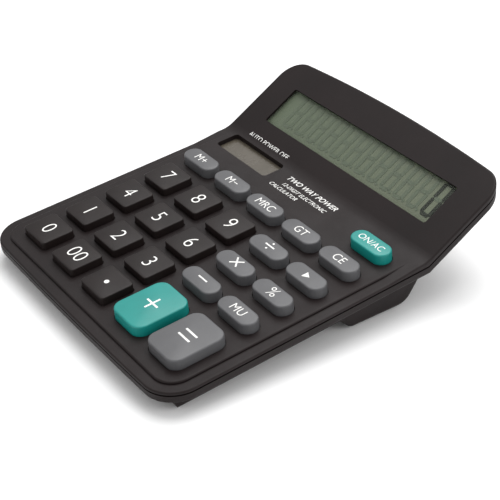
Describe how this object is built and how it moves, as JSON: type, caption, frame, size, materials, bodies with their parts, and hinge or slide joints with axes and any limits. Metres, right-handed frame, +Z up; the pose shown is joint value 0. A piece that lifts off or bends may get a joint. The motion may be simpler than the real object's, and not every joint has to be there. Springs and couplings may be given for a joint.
{
  "type": "desk calculator",
  "caption": "Desk calculator with a wedge-shaped case, a raised sloping display, a solar cell, rounded keys and a battery bay under its rear foot.",
  "frame": {"origin": "middle of the case, on the surface that its rubber feet stand on", "axes": "+Z up, +Y from the front edge towards the display, +X to the right of a person using it"},
  "size_m": [0.12, 0.1436, 0.0391],
  "materials": {
    "case_plastic": "charcoal ABS with a fine moulded texture",
    "black_key": "charcoal ABS, satin",
    "grey_key": "mid grey ABS, satin",
    "teal_key": "teal ABS, satin",
    "window_acrylic": "clear acrylic sheet",
    "lcd_glass": "grey-green liquid crystal display",
    "reflector_foil": "brushed reflector foil",
    "ribbon_film": "heat-seal film",
    "silicone_rubber": "translucent grey silicone",
    "board_laminate": "phenolic paper laminate",
    "chip_resin": "epoxy blob",
    "capacitor_can": "sleeved aluminium can",
    "solar_glass": "amorphous silicon on glass",
    "battery_jacket": "printed steel jacket",
    "plated_steel": "nickel-plated steel",
    "screw_steel": "zinc-plated steel",
    "foot_rubber": "black rubber"
  },
  "bodies": {
    "case": {"battery": "battery_jacket", "battery_spring": "plated_steel", "board_screws": "screw_steel", "bottom_shell": "case_plastic", "capacitor": "capacitor_can", "case_screws": "screw_steel", "chip_cap": "chip_resin", "circuit_board": "board_laminate", "contact_minus": "plated_steel", "contact_plus": "plated_steel", "display_glass": "lcd_glass", "display_reflector": "reflector_foil", "display_ribbon": "ribbon_film", "display_window": "window_acrylic", "key_membrane": "silicone_rubber", "rubber_feet": "foot_rubber", "solar_cell": "solar_glass", "top_shell": "case_plastic"},
    "battery_cover": {"battery_cover": "case_plastic"},
    "key_clear_entry": {"key_clear_entry": "grey_key"},
    "key_correct": {"key_correct": "grey_key"},
    "key_divide": {"key_divide": "grey_key"},
    "key_double_zero": {"key_double_zero": "black_key"},
    "key_eight": {"key_eight": "black_key"},
    "key_equals": {"key_equals": "grey_key"},
    "key_five": {"key_five": "black_key"},
    "key_four": {"key_four": "black_key"},
    "key_grand_total": {"key_grand_total": "grey_key"},
    "key_mark_up": {"key_mark_up": "grey_key"},
    "key_memory_minus": {"key_memory_minus": "grey_key"},
    "key_memory_plus": {"key_memory_plus": "grey_key"},
    "key_memory_recall": {"key_memory_recall": "grey_key"},
    "key_minus": {"key_minus": "grey_key"},
    "key_multiply": {"key_multiply": "grey_key"},
    "key_nine": {"key_nine": "black_key"},
    "key_on_clear": {"key_on_clear": "teal_key"},
    "key_one": {"key_one": "black_key"},
    "key_percent": {"key_percent": "grey_key"},
    "key_plus": {"key_plus": "teal_key"},
    "key_point": {"key_point": "black_key"},
    "key_seven": {"key_seven": "black_key"},
    "key_six": {"key_six": "black_key"},
    "key_three": {"key_three": "black_key"},
    "key_two": {"key_two": "black_key"},
    "key_zero": {"key_zero": "black_key"}
  },
  "joints": [
    {"name": "key_clear_entry_press", "type": "slide", "parent": "case", "child": "key_clear_entry", "axis": [0, 0.0785, -0.9969], "range_m": [0, 0.0012], "stiffness_N_per_m": 400, "springref_m": -0.0005},
    {"name": "key_correct_press", "type": "slide", "parent": "case", "child": "key_correct", "axis": [0, 0.0785, -0.9969], "range_m": [0, 0.0012], "stiffness_N_per_m": 400, "springref_m": -0.0005},
    {"name": "key_divide_press", "type": "slide", "parent": "case", "child": "key_divide", "axis": [0, 0.0785, -0.9969], "range_m": [0, 0.0012], "stiffness_N_per_m": 400, "springref_m": -0.0005},
    {"name": "key_double_zero_press", "type": "slide", "parent": "case", "child": "key_double_zero", "axis": [0, 0.0785, -0.9969], "range_m": [0, 0.0012], "stiffness_N_per_m": 400, "springref_m": -0.0005},
    {"name": "key_eight_press", "type": "slide", "parent": "case", "child": "key_eight", "axis": [0, 0.0785, -0.9969], "range_m": [0, 0.0012], "stiffness_N_per_m": 400, "springref_m": -0.0005},
    {"name": "key_equals_press", "type": "slide", "parent": "case", "child": "key_equals", "axis": [0, 0.0785, -0.9969], "range_m": [0, 0.0012], "stiffness_N_per_m": 400, "springref_m": -0.0005},
    {"name": "key_five_press", "type": "slide", "parent": "case", "child": "key_five", "axis": [0, 0.0785, -0.9969], "range_m": [0, 0.0012], "stiffness_N_per_m": 400, "springref_m": -0.0005},
    {"name": "key_four_press", "type": "slide", "parent": "case", "child": "key_four", "axis": [0, 0.0785, -0.9969], "range_m": [0, 0.0012], "stiffness_N_per_m": 400, "springref_m": -0.0005},
    {"name": "key_grand_total_press", "type": "slide", "parent": "case", "child": "key_grand_total", "axis": [0, 0.0785, -0.9969], "range_m": [0, 0.0012], "stiffness_N_per_m": 400, "springref_m": -0.0005},
    {"name": "key_mark_up_press", "type": "slide", "parent": "case", "child": "key_mark_up", "axis": [0, 0.0785, -0.9969], "range_m": [0, 0.0012], "stiffness_N_per_m": 400, "springref_m": -0.0005},
    {"name": "key_memory_minus_press", "type": "slide", "parent": "case", "child": "key_memory_minus", "axis": [0, 0.0785, -0.9969], "range_m": [0, 0.0012], "stiffness_N_per_m": 400, "springref_m": -0.0005},
    {"name": "key_memory_plus_press", "type": "slide", "parent": "case", "child": "key_memory_plus", "axis": [0, 0.0785, -0.9969], "range_m": [0, 0.0012], "stiffness_N_per_m": 400, "springref_m": -0.0005},
    {"name": "key_memory_recall_press", "type": "slide", "parent": "case", "child": "key_memory_recall", "axis": [0, 0.0785, -0.9969], "range_m": [0, 0.0012], "stiffness_N_per_m": 400, "springref_m": -0.0005},
    {"name": "key_minus_press", "type": "slide", "parent": "case", "child": "key_minus", "axis": [0, 0.0785, -0.9969], "range_m": [0, 0.0012], "stiffness_N_per_m": 400, "springref_m": -0.0005},
    {"name": "key_multiply_press", "type": "slide", "parent": "case", "child": "key_multiply", "axis": [0, 0.0785, -0.9969], "range_m": [0, 0.0012], "stiffness_N_per_m": 400, "springref_m": -0.0005},
    {"name": "key_nine_press", "type": "slide", "parent": "case", "child": "key_nine", "axis": [0, 0.0785, -0.9969], "range_m": [0, 0.0012], "stiffness_N_per_m": 400, "springref_m": -0.0005},
    {"name": "key_on_clear_press", "type": "slide", "parent": "case", "child": "key_on_clear", "axis": [0, 0.0785, -0.9969], "range_m": [0, 0.0012], "stiffness_N_per_m": 400, "springref_m": -0.0005},
    {"name": "key_one_press", "type": "slide", "parent": "case", "child": "key_one", "axis": [0, 0.0785, -0.9969], "range_m": [0, 0.0012], "stiffness_N_per_m": 400, "springref_m": -0.0005},
    {"name": "key_percent_press", "type": "slide", "parent": "case", "child": "key_percent", "axis": [0, 0.0785, -0.9969], "range_m": [0, 0.0012], "stiffness_N_per_m": 400, "springref_m": -0.0005},
    {"name": "key_plus_press", "type": "slide", "parent": "case", "child": "key_plus", "axis": [0, 0.0785, -0.9969], "range_m": [0, 0.0012], "stiffness_N_per_m": 400, "springref_m": -0.0005},
    {"name": "key_point_press", "type": "slide", "parent": "case", "child": "key_point", "axis": [0, 0.0785, -0.9969], "range_m": [0, 0.0012], "stiffness_N_per_m": 400, "springref_m": -0.0005},
    {"name": "key_seven_press", "type": "slide", "parent": "case", "child": "key_seven", "axis": [0, 0.0785, -0.9969], "range_m": [0, 0.0012], "stiffness_N_per_m": 400, "springref_m": -0.0005},
    {"name": "key_six_press", "type": "slide", "parent": "case", "child": "key_six", "axis": [0, 0.0785, -0.9969], "range_m": [0, 0.0012], "stiffness_N_per_m": 400, "springref_m": -0.0005},
    {"name": "key_three_press", "type": "slide", "parent": "case", "child": "key_three", "axis": [0, 0.0785, -0.9969], "range_m": [0, 0.0012], "stiffness_N_per_m": 400, "springref_m": -0.0005},
    {"name": "key_two_press", "type": "slide", "parent": "case", "child": "key_two", "axis": [0, 0.0785, -0.9969], "range_m": [0, 0.0012], "stiffness_N_per_m": 400, "springref_m": -0.0005},
    {"name": "key_zero_press", "type": "slide", "parent": "case", "child": "key_zero", "axis": [0, 0.0785, -0.9969], "range_m": [0, 0.0012], "stiffness_N_per_m": 400, "springref_m": -0.0005},
    {"name": "battery_cover_slide", "type": "slide", "parent": "case", "child": "battery_cover", "axis": [0, 1, 0], "range_m": [0, 0.02]}
  ]
}
